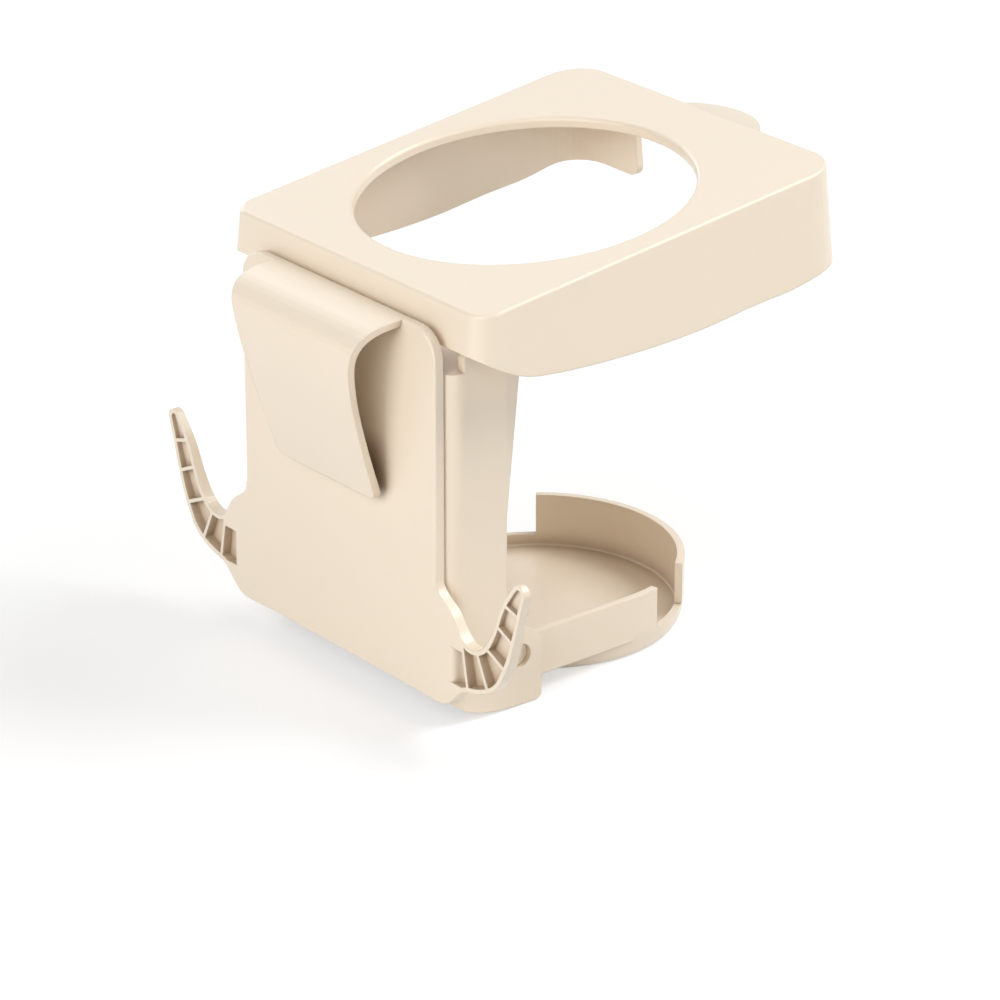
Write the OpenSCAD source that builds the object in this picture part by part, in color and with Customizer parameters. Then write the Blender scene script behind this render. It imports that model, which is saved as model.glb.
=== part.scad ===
// Folding cup holder for a car door or seat back.
// Millimetres. X is the width, Y runs from the flat back plate out to the cup, Z is up.
// The origin is the middle of the tray's round underside, on the level the holder stands on.
// The pieces are written from the back plate's rear face, then moved to that origin together.
// Drawn open, as it is used: cover frame level, tray down.

/* [View] */

// Piece to draw

/* [Back plate] */

// Width of the flat plate
plate_w = 70.8; // [60:0.2:90]
// Thickness of the flat plate
plate_t = 2.4; // [1.6:0.1:4]
// Height of the plate's lower edge
plate_z0 = 7.2; // [4:0.1:20]
// Height of the plate's upper edge
plate_z1 = 95.2; // [80:0.1:120]
// Radius of the plate's upper corners
plate_r = 7; // [2:0.5:10]
// Rounding of the plate's rear edges
plate_edge = 0.4; // [0.2:0.1:1.2]

/* [Spring clip] */

// Half width where the clip leaves the plate
clip_root = 24; // [18:0.5:32]
// Half width at the clip's free end
clip_end = 18; // [12:0.5:28]
// How far the clip stands behind the plate
clip_out = 12.7; // [8:0.1:20]
// Thickness of the clip
clip_t = 1.8; // [1.2:0.1:3]
// Height of the clip's free end
clip_end_z = 51; // [40:0.5:70]
// Gap between the clip's free end and the plate
clip_gap = 1.5; // [0.5:0.1:5]

/* [Bag hooks] */

// Depth of a hook at its foot, from the plate's rear face
hook_d = 3.3; // [2.4:0.1:6]
// Depth of a hook at its tip
tip_d = 1.7; // [1.4:0.1:4]
// Depth of the pockets at the hook's foot
pocket_d = 2.4; // [1:0.1:3]
// Width of the rim round the pockets
hook_rim = 1.1; // [1:0.1:2.5]
// Thickness of a rib between the pockets
rib_t = 0.9; // [0.6:0.1:2]
// Radius of a hook's tip
tip_r = 2.1; // [1.5:0.1:3]

/* [Housing] */

// Distance from the plate's rear face to the housing's front
house_y1 = 18.7; // [14:0.1:26]
// Wall thickness of the housing
house_t = 2.4; // [1.6:0.1:3]
// Radius of the housing's upright rear corners
house_r = 4.4; // [2:0.1:6]
// Height of the housing's top deck
deck_z = 85; // [75:0.5:100]
// Height where the housing's front panel starts
panel_z = 15.6; // [12:0.1:24]
// Distance from the plate's rear face to the front of the lugs
lug_y = 28.9; // [24:0.1:36]
// Height where the lugs run out into the column
lug_z = 26.5; // [22:0.5:34]
// Height of the side fins' lower end
fin_z = 47.0; // [30:0.5:60]
// How far the side fins reach in front of the housing at the top
fin_out = 6.2; // [2:0.1:8]
// Radius of the ears that carry the cover hinge
ear_r = 7; // [5:0.1:9]

/* [Cover frame] */

// Height of the cover's upper face at its rear edge
cover_z0 = 100.6; // [90:0.1:120]
// Slope of the cover's upper face, degrees
cover_slope = 7.07; // [0:0.01:12]
// Width of the cover at the rear, at skirt level
cover_w = 94.7; // [84:0.1:110]
// Rear face of the cover, at skirt level
cover_y0 = 3.5; // [3:0.1:8]
// Front face of the cover, at skirt level
cover_y1 = 111.7; // [90:0.1:130]
// Height at which the cover's width and depth are stated
skirt_z = 85; // [80:1:95]
// Draft of the cover's walls, degrees
draft = 5.3; // [0:0.1:8]
// Radius of the cover's upright rear corners, at skirt level
rear_r = 6.7; // [5:0.1:12]
// Radius of the cover's upright front corners, at skirt level
front_r = 11.9; // [6:0.1:16]
// How much wider the cover is at the front than at the rear, on each side
cover_flare = 1.75; // [0:0.05:4]
// Rounding of the cover's upper edges
top_edge = 0.7; // [0.2:0.1:1.5]
// Thickness of the cover's upper wall
cover_t = 2.5; // [1.8:0.1:4]
// Thickness of the skirt
skirt_t = 1.8; // [1.4:0.1:3]
// Height of the skirt's lower edge, half way along
skirt_low = 83.2; // [76:0.1:90]
// How much higher the front wall's lower edge lies
stub_up = 6.6; // [0:0.1:12]
// Diameter of the cup's hole
hole_d = 78.4; // [66:0.2:86]
// Distance from the plate's rear face to the hole's middle
hole_y = 54; // [48:0.1:62]
// Rounding of the hole's upper edge
hole_edge = 1; // [0.4:0.1:1.6]
// Half width of the opening in the front wall
front_gap = 24.8; // [16:0.1:34]
// Height of the opening's upper edge
front_gap_z = 106.5; // [96:0.5:108]
// Radius of the finger tab
tab_r = 17.3; // [10:0.1:24]
// Height of the finger tab's underside
tab_z = 108.9; // [100:0.1:112]
// Thickness of the finger tab
tab_t = 2; // [1.4:0.1:3]
// From the cover's front face back to the middle of the tab's arc
tab_in = 9.2; // [4:0.1:14]

/* [Tray] */

// Outer diameter of the tray at its rim
tray_d = 69; // [60:0.5:80]
// Distance from the plate's rear face to the tray's axis
tray_y = 58.4; // [50:0.1:66]
// Height of the tray's rim
rim_z = 15.2; // [10:0.1:24]
// Wall thickness of the tray
tray_t = 1.8; // [1.4:0.1:3]
// Thickness of the tray's round floor
floor_t = 2; // [1.4:0.1:4]
// Height of the shallow rear part's underside
heel_z = 4.2; // [2:0.1:6]
// Radius of the corner between the tray's floor and its wall
floor_r = 0.5; // [0.2:0.1:3]
// Height of the low wall left in the two notches
notch_z = 4.8; // [3:0.1:10]
// Half angle of the high front wall, degrees
notch_a0 = 51.5; // [40:0.5:60]
// Half angle where the side walls end, degrees
notch_a1 = 76.3; // [65:0.1:88]

/* [Hinges] */

// Diameter of the hinge pins
pin_d = 5.5; // [4:0.1:7]
// Clearance on the radius between a pin and its running hole
pin_gap = 0.05; // [0.02:0.01:0.1]
// Cover hinge, distance from the plate's rear face
cover_pin_y = 19.2; // [16:0.1:26]
// Cover hinge, height
cover_pin_z = 89.2; // [84:0.1:98]
// Tray hinge, distance from the plate's rear face
tray_pin_y = 22.8; // [18:0.1:28]
// Tray hinge, height
tray_pin_z = 12.3; // [8:0.1:18]
// From a cover pin's outer end to the cover's side face
pin_cap = 4.2; // [2.5:0.1:6]
// Radius of the bosses that hold the pins
boss_r = 4.6; // [3.8:0.1:6]
// How deep the tray pins sit inside the lugs
pin_sink = 1.2; // [0:0.1:1.6]
// Clearance between pieces that move past each other
move_gap = 0.3; // [0.2:0.05:0.6]

/* [Hidden] */

$fn = 72;
cream = [0.93, 0.87, 0.79];
tray_r = tray_d / 2;
plate_x = plate_w / 2;
inner_x = tray_r + move_gap;
house_x = inner_x + house_t;
clip_z = plate_z1;
hole_r = hole_d / 2;
pin_r = pin_d / 2;
cover_x = cover_w / 2;
slope_rise = tan(cover_slope);
skirt_spare = 6;
front_cut = 12;
draft_in = tan(draft);
cover_low = skirt_low - skirt_spare;
cover_high = cover_z0 + slope_rise * (cover_y1 - cover_y0) + 2;
cover_rear = cover_y0 + draft_in * (cover_z0 - skirt_z);
cover_pin_end = cover_x - pin_cap;
stub_z = skirt_low + stub_up;
reach = 320;

// Cubic curve between two points, with two guide points
function curve(a, b, c, d, n = 10) =
    [for (i = [0 : n])
        let (t = i / n, s = 1 - t)
        s * s * s * a + 3 * s * s * t * b + 3 * s * t * t * c + t * t * t * d];

function arc(c, r, a0, a1, n = 12) =
    [for (i = [0 : n])
        let (a = a0 + (a1 - a0) * i / n)
        [c[0] + r * cos(a), c[1] + r * sin(a)]];

// A flat shape drawn in X and Z, given its thickness along Y
module upright(y0, y1) {
    translate([0, y1, 0])
        rotate([90, 0, 0])
            linear_extrude(y1 - y0) children();
}

// A flat shape drawn in Y and Z, given its thickness along X
module sideways(x0, x1) {
    translate([x0, 0, 0])
        rotate([90, 0, 90])
            linear_extrude(x1 - x0) children();
}

module both_sides() {
    children();
    mirror([1, 0, 0]) children();
}

module plate_face(shrink = 0) {
    x = plate_x - shrink;
    r = plate_r - shrink;
    high = plate_z1 - plate_r;
    polygon(concat(
        [[-x, plate_z0 + shrink], [x, plate_z0 + shrink]],
        arc([plate_x - plate_r, high], r, 0, 90),
        arc([plate_r - plate_x, high], r, 90, 180)));
}

// Flat plate with its rounded rear edges
module plate() {
    hull() {
        upright(plate_edge, plate_t) plate_face();
        upright(plate_edge / 2, plate_t) plate_face(plate_edge * 0.13);
        upright(plate_edge * 0.13, plate_t) plate_face(plate_edge / 2);
        upright(0, plate_t) plate_face(plate_edge);
    }
}

// Hook points are written from the plate's lower right corner
hook_tip = [28.7, 36.5];
hook_root = -5.4;
pocket_x = 4;
pocket_low = 6.7;
pocket_high = 15.4;
first_rib = 9.2;
tip_in = hook_tip + tip_r * [cos(150), sin(150)];
tip_out = hook_tip + tip_r * [cos(20), -sin(20)];

// Outline of the right-hand hook with its sweep into the plate's side
module hook_face() {
    polygon(concat(
        [[hook_root, 0], [hook_root, 29.8], [-0.01, 29.8]],
        curve([0, 29.8], [0, 26.6], [2.5, 25.9], [5, 24]),
        curve([5, 24], [7.5, 22.1], [8.2, 17.3], [12.2, 17.3]),
        curve([12.2, 17.3], [17.2, 17.3], [19.6, 23], [21.7, 28.8]),
        curve([21.7, 28.8], [23.1, 32.6], [25.2, 35.3], tip_in),
        arc(hook_tip, tip_r, 150, -20),
        curve(tip_out, [28.6, 29.8], [26.9, 19.8], [23.1, 13.9]),
        curve([23.1, 13.9], [21.4, 9.6], [16.6, 7.4], [11.1, 6.4]),
        curve([11.1, 6.4], [7.1, 5.7], [5.6, 0], [0.6, 0])));
}

module rib(inner, outer) {
    along = (outer - inner) / norm(outer - inner);
    side = [-along[1], along[0]] * rib_t / 2;
    polygon([inner - 2 * along + side, outer + 2 * along + side,
             outer + 2 * along - side, inner - 2 * along - side]);
}

module hook_pockets() {
    difference() {
        intersection() {
            offset(delta = -hook_rim) hook_face();
            translate([pocket_x, 0]) square(reach);
        }
        // the bay beside the plate is only as high as the next one
        translate([0, pocket_high]) square([first_rib, hook_tip[1]]);
        square([first_rib, pocket_low]);
        rib([23.9, 32.2], [27.2, 31.2]);
        rib([20.9, 26.4], [25.2, 24.4]);
        rib([16.9, 19.7], [23.3, 16.8]);
        rib([14.1, 17.6], [18, 9.3]);
        rib([first_rib, 17], [11, 7]);
    }
}

// Slope from the plate's rear face down to the floor of the first pocket, seen from above
module pocket_ramp() {
    linear_extrude(hook_tip[1])
        polygon(concat(
            [[pocket_x - 1, hook_d - 0.1], [pocket_x - 1, 0]],
            curve([pocket_x, 0], [pocket_x + 2.6, 0], [pocket_x + 1.8, pocket_d], [pocket_x + 4, pocket_d]),
            [[pocket_x + 4, hook_d - 0.1]]));
}

// Side view of a hook, thinner towards its tip; less takes away the floor of the pockets
module hook_side(less = 0) {
    full = hook_tip[1] * 0.3;
    top = hook_tip[1] + tip_r;
    polygon([[-1, -1], [hook_d - less, -1], [hook_d - less, full], [tip_d - less, top],
             [tip_d - less, top + 1], [-1, top + 1]]);
}

module hook() {
    start = house_x + move_gap - plate_x;
    translate([plate_x, 0, plate_z0]) difference() {
        union() {
            intersection() {
                upright(0, plate_t) hook_face();
                sideways(hook_root - 1, start + 0.5) hook_side();
            }
            // the full depth starts beside the housing
            intersection() {
                upright(0, hook_d) hook_face();
                sideways(start, reach) hook_side();
            }
        }
        difference() {
            intersection() {
                upright(-0.5, hook_d) hook_pockets();
                sideways(0, reach) hook_side(hook_d - pocket_d);
            }
            pocket_ramp();
        }
    }
}

// Side view of the clip: level at the root, a round shoulder, then a long slant back to the plate
module clip_side() {
    inner = clip_out - clip_t;
    polygon(concat(
        [[0.5, clip_z]],
        curve([0, clip_z], [-clip_out * 0.59, clip_z], [-clip_out, clip_z - 1.7], [-clip_out, clip_z - 7.5]),
        curve([-clip_out, clip_z - 7.5], [-clip_out, clip_z - 15.3], [-8.2, clip_end_z + 15],
              [-clip_gap - clip_t, clip_end_z]),
        curve([-clip_gap, clip_end_z + 0.5], [-6.4, clip_end_z + 14.5], [-inner, clip_z - 16], [-inner, clip_z - 8.3]),
        curve([-inner, clip_z - 8.3], [-inner, clip_z - 3.1], [-6.4, clip_z - clip_t], [0, clip_z - clip_t]),
        [[0.5, clip_z - clip_t]]));
}

// Rear view of the clip: wide at the root, narrower down to rounded lower corners
module clip_rear() {
    side = concat(
        curve([clip_root, clip_z + 1], [clip_root - 0.4, clip_z - 2.5], [clip_root - 2.4, clip_z - 6],
              [clip_root - 3.3, clip_z - 11]),
        curve([clip_root - 3.3, clip_z - 11], [clip_root - 4.4, clip_z - 19], [clip_end + 1, clip_end_z + 16],
              [clip_end + 0.3, clip_end_z + 3]),
        curve([clip_end + 0.3, clip_end_z + 3], [clip_end + 0.2, clip_end_z + 1],
              [clip_end - 1, clip_end_z - 0.2], [clip_end - 3, clip_end_z - 0.2]));
    both = concat(side, [for (i = [len(side) - 1 : -1 : 0]) [-side[i][0], side[i][1]]]);
    polygon(both);
}

module back_plate() {
    color(cream) union() {
        plate();
        both_sides() hook();
        intersection() {
            sideways(-clip_root - 1, clip_root + 1) clip_side();
            upright(-clip_out - 2, 1) clip_rear();
        }
    }
}

module house_plan(grow = 0) {
    x = house_x - grow;
    y0 = plate_t + grow;
    y1 = house_y1 - grow;
    r = house_r - grow;
    polygon(concat(
        [[x, y1], [-x, y1]],
        arc([r - x, y0 + r], r, 180, 270),
        arc([x - r, y0 + r], r, 270, 360)));
}

// Side view of the housing's side walls: foot, lug, column and the ear of the cover hinge
module cheek_side() {
    polygon(concat(
        curve([plate_t + house_r, 3.2], [9.5, 1.6], [13.5, 0.6], [20, 0.1]),
        arc([lug_y - 1.8, 1.8], 1.8, 270, 360),
        arc([lug_y - 2.4, 14.6], 2.4, 0, 50),
        [[house_y1 + 1.2, lug_z - 3.2], [house_y1, lug_z], [house_y1, deck_z],
         [cover_pin_y + ear_r, cover_pin_z - 2]],
        arc([cover_pin_y, cover_pin_z], ear_r, 0, 120),
        [[plate_t + house_r + 2.4, deck_z + 6], [plate_t + house_r, deck_z + 3.4]]));
}

module foot_side() {
    polygon(concat(
        curve([plate_t + 0.01, 6.4], [4, 5.2], [5.5, 3.9], [plate_t + house_r, 3.2]),
        [[plate_t + house_r, 30], [plate_t + 0.01, 30]]));
}

// Fin at the front edge of the side wall, leaning forward to the top
module fin() {
    low = fin_z;
    high = cover_pin_z - 2;
    rise = fin_out / (high - low);
    hull() {
        translate([0, 0, low])
            linear_extrude(0.2)
                polygon([[inner_x, house_y1 - 2], [house_x, house_y1 - 2], [house_x, house_y1], [inner_x, house_y1 + 0.05]]);
        translate([0, 0, high])
            linear_extrude(0.2)
                polygon([[inner_x, house_y1 - 2], [house_x, house_y1 - 2], [house_x, house_y1],
                         [inner_x, house_y1 + rise * (high - low)]]);
    }
}

module housing() {
    color(cream) difference() {
        union() {
            // column: a tube with round rear corners, closed by a top deck
            difference() {
                translate([0, 0, panel_z]) linear_extrude(deck_z - panel_z) house_plan();
                translate([0, 0, panel_z - 1]) linear_extrude(deck_z - panel_z + 1 - house_t) house_plan(house_t);
            }
            // rear wall and corners below the column
            difference() {
                intersection() {
                    linear_extrude(panel_z + 1) house_plan();
                    sideways(-house_x - 1, house_x + 1) foot_side();
                }
                translate([0, 0, -1]) linear_extrude(panel_z + 3) house_plan(house_t);
            }
            both_sides() {
                sideways(inner_x, house_x) cheek_side();
                fin();
            }
        }
        for (s = [-1, 1]) {
            translate([s * house_x, tray_pin_y, tray_pin_z])
                rotate([0, 90, 0]) cylinder(h = 4 * house_t, r = pin_r + pin_gap, center = true);
            translate([s * house_x, cover_pin_y, cover_pin_z])
                rotate([0, 90, 0]) cylinder(h = 4 * house_t, r = pin_r + pin_gap, center = true);
        }
    }
}

// Drafted box with round corners; shrink gives the inside of the walls
module cover_block(shrink = 0) {
    drop = (cover_high - cover_low) * draft_in;
    at_low = (skirt_z - cover_low) * draft_in;
    hull() {
        for (s = [-1, 1]) {
            translate([s * (cover_x - rear_r), cover_y0 + rear_r, cover_low])
                cylinder(h = cover_high - cover_low, r1 = rear_r + at_low - shrink,
                         r2 = rear_r + at_low - shrink - drop, $fn = 40);
            translate([s * (cover_x + cover_flare - front_r), cover_y1 - front_r, cover_low])
                cylinder(h = cover_high - cover_low, r1 = front_r + at_low - shrink,
                         r2 = front_r + at_low - shrink - drop, $fn = 40);
        }
    }
}

// Everything under the sloping upper face, moved down by depth
module under_slope(depth) {
    translate([0, cover_rear, cover_z0])
        rotate([cover_slope, 0, 0])
            translate([-reach / 2, -reach / 2, -depth - reach]) cube(reach);
}

// Outside of the cover with its rounded upper edges
module cover_outside() {
    hull() {
        for (step = [[0, 1], [0.13, 0.5], [0.5, 0.13], [1, 0]])
            intersection() {
                cover_block(step[0] * top_edge);
                under_slope(step[1] * top_edge);
            }
    }
}

// Point of the skirt's lower edge, at a share of the way from rear to front
function skirt_point(share, up) = [cover_y0 + share * (cover_y1 - cover_y0), skirt_low + up];

// Side view of the space below the skirt's lower edge
module below_skirt() {
    polygon(concat(
        [skirt_point(-0.3, -20), skirt_point(-0.3, 8.8)],
        curve(skirt_point(-0.014, 8.8), skirt_point(0.037, 6.3), skirt_point(0.079, 1.8), skirt_point(0.162, 1.1)),
        curve(skirt_point(0.162, 1.1), skirt_point(0.263, -0.1), skirt_point(0.43, -0.2), skirt_point(0.541, 0.7)),
        curve(skirt_point(0.541, 0.7), skirt_point(0.624, 1.2), skirt_point(0.679, 2.8), skirt_point(0.781, 3.5)),
        curve(skirt_point(0.781, 3.5), skirt_point(0.864, 4.1), skirt_point(0.901, 6.4), skirt_point(0.966, stub_up)),
        [skirt_point(1.3, stub_up), skirt_point(1.3, -20)]));
}

module front_opening() {
    r = 3;
    side = front_gap + 2 * r;
    polygon(concat(
        [[-side, skirt_low - 20], [side, skirt_low - 20], [side, stub_z]],
        arc([front_gap + r, stub_z + r], r, 270, 180),
        arc([front_gap - r, front_gap_z - r], r, 0, 90),
        arc([r - front_gap, front_gap_z - r], r, 90, 180),
        arc([-front_gap - r, stub_z + r], r, 0, -90),
        [[-side, stub_z]]));
}

// The cup's hole with its rounded upper edge, square to the sloping face
module cup_hole() {
    translate([0, hole_y, cover_z0 + slope_rise * (hole_y - cover_rear)])
        rotate([cover_slope, 0, 0])
            rotate_extrude($fn = 120)
                polygon(concat(
                    [[0, -3 * cover_t], [hole_r, -3 * cover_t]],
                    arc([hole_r + hole_edge, -hole_edge], hole_edge, 180, 90, 6),
                    [[hole_r + hole_edge, 1], [0, 1]]));
}

module hinge_boss(side) {
    x0 = house_x + move_gap;
    x1 = cover_x - 1.2;
    translate([side > 0 ? x0 : -x1, cover_pin_y, cover_pin_z])
        rotate([0, 90, 0]) cylinder(h = x1 - x0, r = boss_r);
}

module cover_frame() {
    color(cream) difference() {
        union() {
            difference() {
                cover_outside();
                intersection() {
                    cover_block(skirt_t);
                    under_slope(cover_t);
                }
                sideways(-reach / 2, reach / 2) below_skirt();
                upright(cover_y1 - front_cut, cover_y1 + front_cut) front_opening();
            }
            intersection() {
                translate([0, cover_y1 - tab_in, tab_z]) cylinder(h = tab_t, r = tab_r);
                translate([-reach / 2, cover_y1 - 2 * skirt_t, 0]) cube(reach);
            }
            for (s = [-1, 1]) hinge_boss(s);
        }
        cup_hole();
        for (s = [-1, 1])
            translate([s * (house_x + cover_pin_end) / 2, cover_pin_y, cover_pin_z])
                rotate([0, 90, 0]) cylinder(h = cover_pin_end - house_x, r = pin_r, center = true);
    }
}

module tray_section() {
    polygon(concat(
        [[0, 0]],
        curve([tray_r - 2.2, 0], [tray_r - 1, 0], [tray_r - 0.3, 1.6], [tray_r, heel_z + 1.6]),
        [[tray_r, rim_z], [tray_r - tray_t, rim_z]],
        arc([tray_r - tray_t - floor_r, floor_t + floor_r], floor_r, 360, 270, 6),
        [[0, floor_t]]));
}

// Cuts the two notches: between the high front wall and the side walls
module notch_cut() {
    middle = (notch_a0 + notch_a1) / 2;
    both_sides()
        translate([0, tray_y, notch_z])
            linear_extrude(rim_z)
                polygon([[0, 0], for (a = [notch_a0, middle, notch_a1]) tray_d * [sin(a), cos(a)]]);
}

module tray() {
    back = tray_pin_y - 6.3;
    inner = tray_r - tray_t;
    heel_floor = heel_z + floor_t;
    color(cream) difference() {
        union() {
            difference() {
                translate([0, tray_y, 0]) rotate_extrude($fn = 96) tray_section();
                // above the heel the dish's rear wall is left out between the straight side walls
                translate([-inner, back, heel_floor]) cube([2 * inner, tray_y - back, rim_z]);
                notch_cut();
            }
            difference() {
                translate([-tray_r, back, heel_z]) cube([2 * tray_r, tray_y - back, rim_z - heel_z]);
                translate([-inner, back + tray_t, heel_floor]) cube([2 * inner, tray_y - back, rim_z]);
                translate([0, tray_y, heel_z - 1]) cylinder(h = rim_z, r = inner, $fn = 96);
            }
            for (s = [-1, 1])
                translate([s * (tray_r - 3), tray_pin_y, tray_pin_z])
                    rotate([0, 90, 0]) cylinder(h = 6, r = boss_r, center = true);
        }
        for (s = [-1, 1])
            translate([s * tray_r, tray_pin_y, tray_pin_z])
                rotate([0, 90, 0]) cylinder(h = 16, r = pin_r, center = true);
    }
}

module pin(x0, x1, y, z) {
    translate([x0, y, z]) rotate([0, 90, 0]) cylinder(h = x1 - x0, r = pin_r);
}

module cover_pin_right() {
    color(cream) pin(inner_x - 1, cover_pin_end, cover_pin_y, cover_pin_z);
}

module cover_pin_left() {
    mirror([1, 0, 0]) cover_pin_right();
}

module tray_pin_right() {
    color(cream) pin(tray_r - 6, house_x - pin_sink, tray_pin_y, tray_pin_z);
}

module tray_pin_left() {
    mirror([1, 0, 0]) tray_pin_right();
}

// Moves a piece from the back plate's datum to the origin under the cup
module place() {
    translate([0, -tray_y, 0]) children();
}

place() back_plate();
place() housing();
place() cover_frame();
place() tray();
place() cover_pin_left();
place() cover_pin_right();
place() tray_pin_left();
place() tray_pin_right();
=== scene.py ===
"""Dresses the folding car cup holder and sets the studio for its picture.

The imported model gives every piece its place. Each sub-assembly below is a class
that finishes its own pieces, and main() builds them in the order in which the
holder is put together: plate, housing, cover frame, tray, hinge pins, studio.
"""
import logging
from dataclasses import dataclass
from enum import Enum

import bpy
from mathutils import Euler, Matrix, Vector


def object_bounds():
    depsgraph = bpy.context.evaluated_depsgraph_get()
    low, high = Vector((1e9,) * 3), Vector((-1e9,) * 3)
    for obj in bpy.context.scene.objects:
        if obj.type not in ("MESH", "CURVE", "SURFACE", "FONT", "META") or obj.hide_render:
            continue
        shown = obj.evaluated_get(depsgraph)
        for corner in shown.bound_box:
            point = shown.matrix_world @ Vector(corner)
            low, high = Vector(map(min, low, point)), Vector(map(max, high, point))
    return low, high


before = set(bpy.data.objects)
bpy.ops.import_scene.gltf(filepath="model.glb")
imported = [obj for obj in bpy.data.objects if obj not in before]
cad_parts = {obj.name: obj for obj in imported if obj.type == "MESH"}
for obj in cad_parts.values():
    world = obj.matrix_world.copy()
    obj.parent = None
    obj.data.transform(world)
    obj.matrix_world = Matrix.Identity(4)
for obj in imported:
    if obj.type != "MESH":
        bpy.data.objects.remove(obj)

CAD_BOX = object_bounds()
MM = 0.001
LOG = logging.getLogger("cup_holder")
Triple = tuple[float, float, float]

# Skin of the plastic: refraction, roughness of its gloss, and the share of the light
# that goes under it, with how far each colour goes and how deep in metres.
REFRACTION = 1.48
GLOSS_ROUGHNESS = 0.24
UNDER_SHARE = 0.06
UNDER_SPREAD: Triple = (1.0, 0.7, 0.45)
UNDER_DEPTH = 1.2 * MM

# Drift of the colour: clouds per metre, their detail, the share of the colour left in
# the darker clouds, and the ends of the passage from dark to light.
DRIFT_SCALE = 14.0
DRIFT_DETAIL = 2.0
DRIFT_DARK = 0.985
DRIFT_ENDS = (0.3, 0.7)

# Painted shade in pockets and inner corners: rays per point, and the openness at which
# the painted shade is darkest and at which it is gone.
PAINTED_SHADE_RAYS = 6
PAINTED_SHADE_OPENNESS = (0.35, 0.80)

# Grain: bumps per metre, their detail and strength, and the rays that round an edge.
GRAIN_SCALE = 1600.0
GRAIN_DETAIL = 1.0
GRAIN_STRENGTH = 0.25
EDGE_RAYS = 6

# Studio: the point that the lamps face, the width of each lamp's square face in metres,
# and the film's width in millimetres.
MIDDLE: Triple = (0.0, 0.0, 0.05)
LAMP_SIZE = 1.1
FILM_WIDTH = 36.0
WHITE = (1.0, 1.0, 1.0, 1.0)


class Surface(Enum):
    """Roughness of a moulded surface, by the finish of its tool."""

    SATIN = 0.40
    PIN = 0.46


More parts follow.
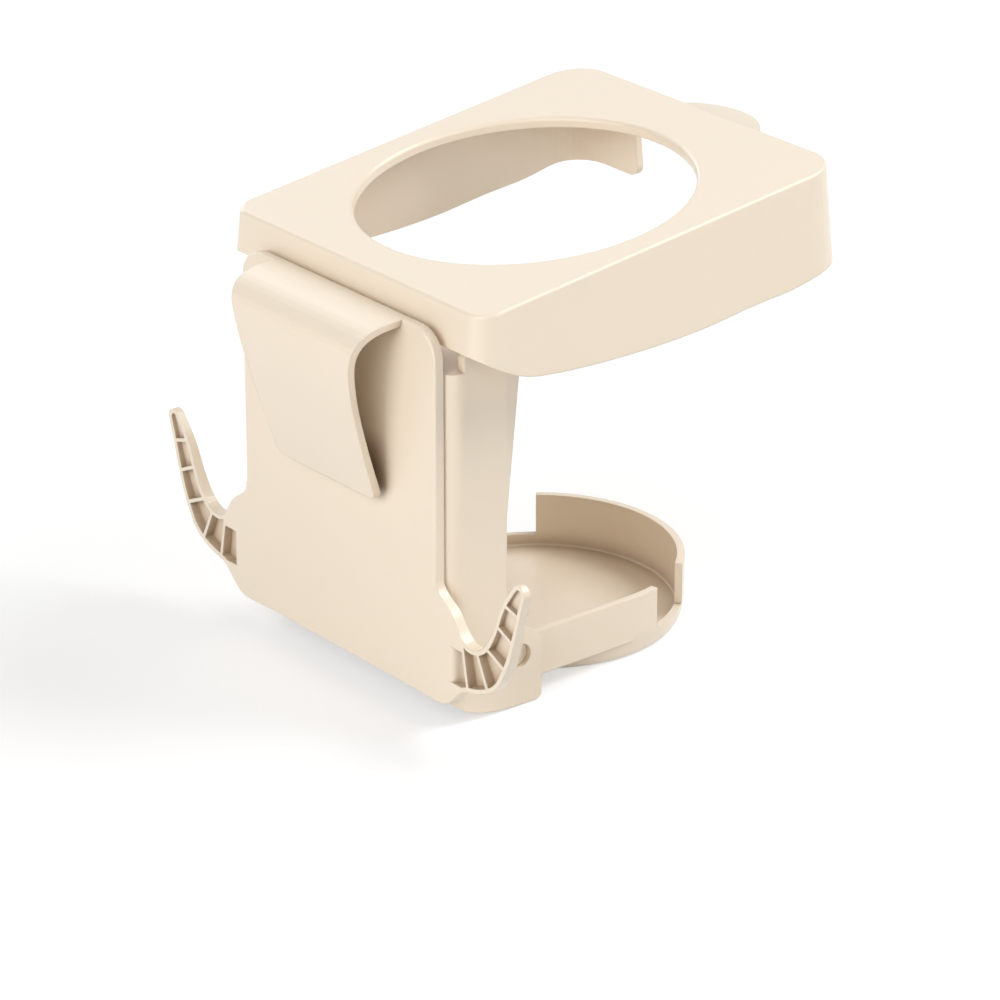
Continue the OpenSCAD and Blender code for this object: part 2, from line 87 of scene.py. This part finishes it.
@dataclass(frozen=True)
class CreamPlastic:
    """Cream moulded plastic with a fine grain, softly rounded edges and painted shade in its
    pockets.

    Attributes:
        name: The material's name.
        colour: Base colour, linear red, green and blue.
        surface: The finish of the tool that it comes from.
        edge: Radius of the rounding seen on the edges, in metres.
        grain: Height of the fine grain, in metres.
        gloss: Weight of the clear gloss over the colour.
        painted_shade_reach: Width up to which a pocket or an inner corner gets painted shade,
            in metres.
        shade: Shares of red, green and blue that are left in the deepest pocket by the painted
            shade.
    """

    name: str
    colour: Triple
    surface: Surface = Surface.SATIN
    edge: float = 0.45 * MM
    grain: float = 0.004 * MM
    gloss: float = 0.5
    # Painted shade: the colour is darkened in pockets and inner corners, where shade falls.
    painted_shade_reach: float = 6.5 * MM
    shade: Triple = (0.50, 0.42, 0.35)

    def material(self) -> bpy.types.Material:
        """Makes the material, or gives back the one already made.

        Returns:
            The procedural material.
        """
        if self.name in bpy.data.materials:
            return bpy.data.materials[self.name]
        mat = bpy.data.materials.new(self.name)
        mat.use_nodes = True
        shader = mat.node_tree.nodes["Principled BSDF"]
        shader.inputs["Roughness"].default_value = self.surface.value
        shader.inputs["IOR"].default_value = REFRACTION
        shader.inputs["Coat Weight"].default_value = self.gloss
        shader.inputs["Coat Roughness"].default_value = GLOSS_ROUGHNESS
        shader.inputs["Subsurface Weight"].default_value = UNDER_SHARE
        shader.inputs["Subsurface Radius"].default_value = UNDER_SPREAD
        shader.inputs["Subsurface Scale"].default_value = UNDER_DEPTH
        self._tint_and_paint_shade(mat.node_tree, shader)
        self._grain(mat.node_tree, shader)
        return mat

    def _tint_and_paint_shade(self, tree: bpy.types.NodeTree, shader: bpy.types.Node) -> None:
        """Gives the colour a faint drift, and paints shade into pockets and inner corners by
        darkening the colour there.

        Args:
            tree: The material's nodes and links.
            shader: The node that takes the colour.
        """
        nodes, links = tree.nodes, tree.links
        place = nodes.new("ShaderNodeTexCoord")
        cloud = nodes.new("ShaderNodeTexNoise")
        cloud.inputs["Scale"].default_value = DRIFT_SCALE
        cloud.inputs["Detail"].default_value = DRIFT_DETAIL
        ramp = nodes.new("ShaderNodeValToRGB")
        dark, light = ramp.color_ramp.elements
        dark.position, light.position = DRIFT_ENDS
        dark.color = (*[c * DRIFT_DARK for c in self.colour], 1.0)
        light.color = (*self.colour, 1.0)
        # Painted shade: ambient occlusion finds pockets, creases and inner corners, and the
        # colour is darkened there.
        deep = nodes.new("ShaderNodeAmbientOcclusion")
        deep.samples = PAINTED_SHADE_RAYS
        deep.only_local = True
        deep.inputs["Distance"].default_value = self.painted_shade_reach
        painted_shade_amount = nodes.new("ShaderNodeMapRange")
        painted_shade_amount.inputs["From Min"].default_value = PAINTED_SHADE_OPENNESS[0]
        painted_shade_amount.inputs["From Max"].default_value = PAINTED_SHADE_OPENNESS[1]
        # The darkened colour of the painted shade, mixed in by the occlusion.
        mix = nodes.new("ShaderNodeMix")
        mix.data_type = "RGBA"
        mix.inputs["A"].default_value = (*[c * k for c, k in zip(self.colour, self.shade)], 1.0)
        links.new(place.outputs["Object"], cloud.inputs["Vector"])
        links.new(cloud.outputs["Fac"], ramp.inputs["Fac"])
        links.new(deep.outputs["AO"], painted_shade_amount.inputs["Value"])
        links.new(painted_shade_amount.outputs["Result"], mix.inputs["Factor"])
        links.new(ramp.outputs["Color"], mix.inputs["B"])
        links.new(mix.outputs["Result"], shader.inputs["Base Color"])

    def _grain(self, tree: bpy.types.NodeTree, shader: bpy.types.Node) -> None:
        """Rounds the edges and lays the fine grain on the surface.

        Args:
            tree: The material's nodes and links.
            shader: The node that takes the normal.
        """
        nodes, links = tree.nodes, tree.links
        place = nodes.new("ShaderNodeTexCoord")
        fine = nodes.new("ShaderNodeTexNoise")
        fine.inputs["Scale"].default_value = GRAIN_SCALE
        fine.inputs["Detail"].default_value = GRAIN_DETAIL
        bump = nodes.new("ShaderNodeBump")
        bump.inputs["Strength"].default_value = GRAIN_STRENGTH
        bump.inputs["Distance"].default_value = self.grain
        edge = nodes.new("ShaderNodeBevel")
        edge.samples = EDGE_RAYS
        edge.inputs["Radius"].default_value = self.edge
        links.new(place.outputs["Object"], fine.inputs["Vector"])
        links.new(fine.outputs["Fac"], bump.inputs["Height"])
        links.new(edge.outputs["Normal"], bump.inputs["Normal"])
        links.new(bump.outputs["Normal"], shader.inputs["Normal"])


CREAM = CreamPlastic("cream satin plastic", (0.87, 0.752, 0.602))
PIN_CREAM = CreamPlastic("cream hinge pin", (0.80, 0.68, 0.53), Surface.PIN, edge=0.3 * MM)


@dataclass
class Moulding:
    """Sub-assembly of moulded pieces in one finish.

    Attributes:
        nodes: The names of its CAD nodes.
        finish: The finish that they get.
    """

    nodes: tuple[str, ...] = ()
    finish: CreamPlastic = CREAM

    def build(self) -> list[bpy.types.Object]:
        """Puts the finish on each CAD node, in order.

        Returns:
            The finished objects.
        """
        made = [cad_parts[node] for node in self.nodes]
        for obj in made:
            obj.data.materials.clear()
            obj.data.materials.append(self.finish.material())
        return made


@dataclass
class BackPlate(Moulding):
    """Flat plate with the spring clip and the two ribbed bag hooks, one moulding."""

    nodes: tuple[str, ...] = ("back_plate",)


@dataclass
class Housing(Moulding):
    """Column behind the plate, with the lugs and the ears of both hinges."""

    nodes: tuple[str, ...] = ("housing",)


@dataclass
class CoverFrame(Moulding):
    """Hood with the cup's hole and the finger tab."""

    nodes: tuple[str, ...] = ("cover_frame",)


@dataclass
class Tray(Moulding):
    """Round tray that the cup stands on."""

    nodes: tuple[str, ...] = ("tray",)


@dataclass
class HingePins(Moulding):
    """Pins of the cover hinge and the tray hinge, a pair each."""

    nodes: tuple[str, ...] = ("cover_pin_left", "cover_pin_right",
                              "tray_pin_left", "tray_pin_right")
    finish: CreamPlastic = PIN_CREAM


def facing(place: Triple, aim: Triple) -> Euler:
    """Turns a lamp or a camera towards a point.

    Args:
        place: Where it stands, in metres.
        aim: The point it faces, in metres.

    Returns:
        Its rotation.
    """
    return (Vector(aim) - Vector(place)).to_track_quat("-Z", "Y").to_euler()


@dataclass(frozen=True)
class Lamp:
    """One soft lamp of the studio.

    Attributes:
        name: The lamp's name.
        place: Where it stands, in metres.
        power: Its power in watts.
    """

    name: str
    place: Triple
    power: float

    def build(self) -> bpy.types.Object:
        """Hangs the lamp.

        Returns:
            The lamp's object.
        """
        data = bpy.data.lights.new(self.name, "AREA")
        data.shape = "SQUARE"
        data.size = LAMP_SIZE
        data.energy = self.power
        lamp = bpy.data.objects.new(self.name, data)
        lamp.location = self.place
        lamp.rotation_euler = facing(self.place, MIDDLE)
        bpy.context.scene.collection.objects.link(lamp)
        return lamp


def seen_or_mirrored(tree: bpy.types.NodeTree) -> bpy.types.NodeSocket:
    """Tells apart the rays of the camera, of mirror light and of glass from all others.

    Args:
        tree: The nodes and links of the floor or the room.

    Returns:
        The output that is 1 for those rays and 0 for the others.
    """
    rays = tree.nodes.new("ShaderNodeLightPath").outputs
    seen = rays["Is Camera Ray"]
    for kind in ("Is Glossy Ray", "Is Transmission Ray"):
        larger = tree.nodes.new("ShaderNodeMath")
        larger.operation = "MAXIMUM"
        tree.links.new(seen, larger.inputs[0])
        tree.links.new(rays[kind], larger.inputs[1])
        seen = larger.outputs[0]
    return seen


@dataclass
class Studio:
    """Plain pale floor, soft lamps and the camera of the photograph.

    Attributes:
        eye: Where the camera stands, in metres.
        aim: The point it faces, in metres.
        lens: Its focal length, in millimetres.
        nearest: Nearest distance that it sees, in metres.
        floor_size: Width of the square floor, in metres.
        floor_gap: How far the floor lies under the holder's foot, in metres.
        floor_colour: Colour by which the floor lights the holder.
        floor_roughness: Roughness of the floor.
        floor_shine: Level of the floor's mirror light.
        seen_shade: Grey of the floor where it is seen or mirrored, which takes the shadow.
        seen_glow: Light that brings that grey up to white.
        room_light: Strength of the room's even light.
        room_white: Strength at which the room is seen or mirrored as white.
        lamps: The soft lamps.
    """

    eye: Triple = (0.7756, -0.6394, 0.4682)
    aim: Triple = (-0.01137, -0.00234, 0.02496)
    lens: float = 168.6
    nearest: float = 0.01
    floor_size: float = 2.6
    floor_gap: float = 0.2 * MM
    floor_colour: Triple = (0.72, 0.72, 0.72)
    floor_roughness: float = 0.9
    floor_shine: float = 0.2
    seen_shade: Triple = (0.55, 0.55, 0.55)
    seen_glow: float = 0.53
    room_light: float = 0.04
    room_white: float = 1.0
    lamps: tuple[Lamp, ...] = (
        Lamp("front low", (0.0, -1.74, 0.516), 12.6),
        Lamp("front right", (0.66, -1.413, 0.95), 13.0),
        Lamp("far right high", (0.636, 1.102, 1.323), 26.5),
        Lamp("far left high", (-1.102, 0.636, 1.323), 2.0),
        Lamp("left low", (-1.69, 0.15, 0.666), 8.0),
        Lamp("side low", (1.732, 0.152, 0.516), 4.5),
    )

    def build(self) -> list[bpy.types.Object]:
        """Sets floor, lamps, camera and room.

        Returns:
            The floor, the lamps and the camera.
        """
        made = [self._floor(), *[lamp.build() for lamp in self.lamps], self._camera()]
        self._room()
        bpy.context.scene.view_settings.view_transform = "Standard"
        return made

    def _floor(self) -> bpy.types.Object:
        """Lays the floor level with the holder's foot.

        Returns:
            The floor's object.
        """
        half = self.floor_size / 2
        low = CAD_BOX[0][2] - self.floor_gap
        corners = [(x * half, y * half, low) for x, y in ((-1, -1), (1, -1), (1, 1), (-1, 1))]
        mesh = bpy.data.meshes.new("floor")
        mesh.from_pydata(corners, [], [(0, 1, 2, 3)])
        mesh.materials.append(self._floor_material())
        floor = bpy.data.objects.new("floor", mesh)
        bpy.context.scene.collection.objects.link(floor)
        return floor

    def _floor_material(self) -> bpy.types.Material:
        """Makes the floor's material, white where it is seen or mirrored but for the shadow.

        Returns:
            The material.
        """
        mat = bpy.data.materials.new("pale floor")
        mat.use_nodes = True
        nodes, links = mat.node_tree.nodes, mat.node_tree.links
        shader = nodes["Principled BSDF"]
        shader.inputs["Base Color"].default_value = (*self.floor_colour, 1.0)
        shader.inputs["Roughness"].default_value = self.floor_roughness
        shader.inputs["Specular IOR Level"].default_value = self.floor_shine
        shade = nodes.new("ShaderNodeBsdfDiffuse")
        shade.inputs["Color"].default_value = (*self.seen_shade, 1.0)
        glow = nodes.new("ShaderNodeEmission")
        glow.inputs["Strength"].default_value = self.seen_glow
        both = nodes.new("ShaderNodeAddShader")
        pick = nodes.new("ShaderNodeMixShader")
        links.new(shade.outputs["BSDF"], both.inputs[0])
        links.new(glow.outputs["Emission"], both.inputs[1])
        links.new(seen_or_mirrored(mat.node_tree), pick.inputs["Fac"])
        links.new(shader.outputs["BSDF"], pick.inputs[1])
        links.new(both.outputs["Shader"], pick.inputs[2])
        links.new(pick.outputs["Shader"], nodes["Material Output"].inputs["Surface"])
        return mat

    def _room(self) -> None:
        """Fills the room with even light, and shows it white where it is seen or mirrored."""
        world = bpy.data.worlds.new("room")
        world.use_nodes = True
        nodes, links = world.node_tree.nodes, world.node_tree.links
        light = nodes["Background"]
        light.inputs["Color"].default_value = WHITE
        light.inputs["Strength"].default_value = self.room_light
        white = nodes.new("ShaderNodeBackground")
        white.inputs["Color"].default_value = WHITE
        white.inputs["Strength"].default_value = self.room_white
        pick = nodes.new("ShaderNodeMixShader")
        links.new(seen_or_mirrored(world.node_tree), pick.inputs["Fac"])
        links.new(light.outputs["Background"], pick.inputs[1])
        links.new(white.outputs["Background"], pick.inputs[2])
        links.new(pick.outputs["Shader"], nodes["World Output"].inputs["Surface"])
        bpy.context.scene.world = world

    def _camera(self) -> bpy.types.Object:
        """Sets the camera where the photographer's stood.

        Returns:
            The camera's object.
        """
        data = bpy.data.cameras.new("camera")
        data.lens = self.lens
        data.sensor_width = FILM_WIDTH
        data.clip_start = self.nearest
        camera = bpy.data.objects.new("camera", data)
        camera.location = self.eye
        camera.rotation_euler = facing(self.eye, self.aim)
        bpy.context.scene.collection.objects.link(camera)
        bpy.context.scene.camera = camera
        return camera


def main() -> None:
    """Builds the holder's pieces in order, then the studio."""
    logging.basicConfig(level=logging.INFO, format="%(name)s: %(message)s")
    for part in (BackPlate(), Housing(), CoverFrame(), Tray(), HingePins(), Studio()):
        for obj in part.build():
            LOG.info("%s: %s", type(part).__name__, obj.name)


if __name__ == "__main__":
    main()
